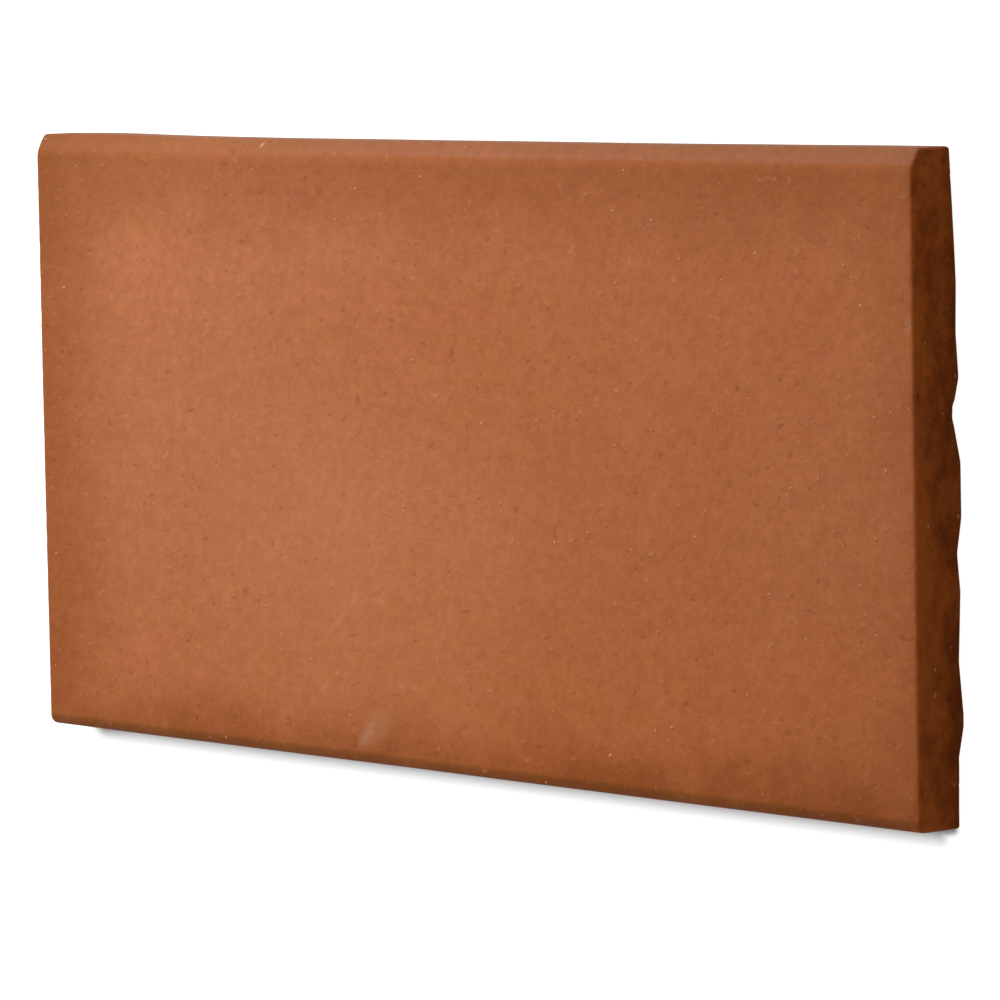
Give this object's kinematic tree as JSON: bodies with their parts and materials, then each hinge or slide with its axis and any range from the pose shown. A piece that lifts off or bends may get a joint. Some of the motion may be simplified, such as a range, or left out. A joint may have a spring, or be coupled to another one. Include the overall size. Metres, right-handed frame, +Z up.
{
  "type": "clinker floor tile",
  "caption": "Flat rectangular unglazed clinker floor tile in terracotta red, with one bevelled long edge, wire-cut ends and lengthwise keying ribs on its back.",
  "frame": {"origin": "middle of the tile's plan, on the plane of the rib crowns that it lies on", "axes": "+X along the 240 mm length, +Y across the 115 mm width, +Z up out of the walked-on face"},
  "size_m": [0.24, 0.115, 0.011],
  "materials": {
    "fired_clay": "unglazed, matt, fine sandy grain"
  },
  "bodies": {
    "root": {"clinker_tile": "fired_clay"}
  },
  "joints": []
}
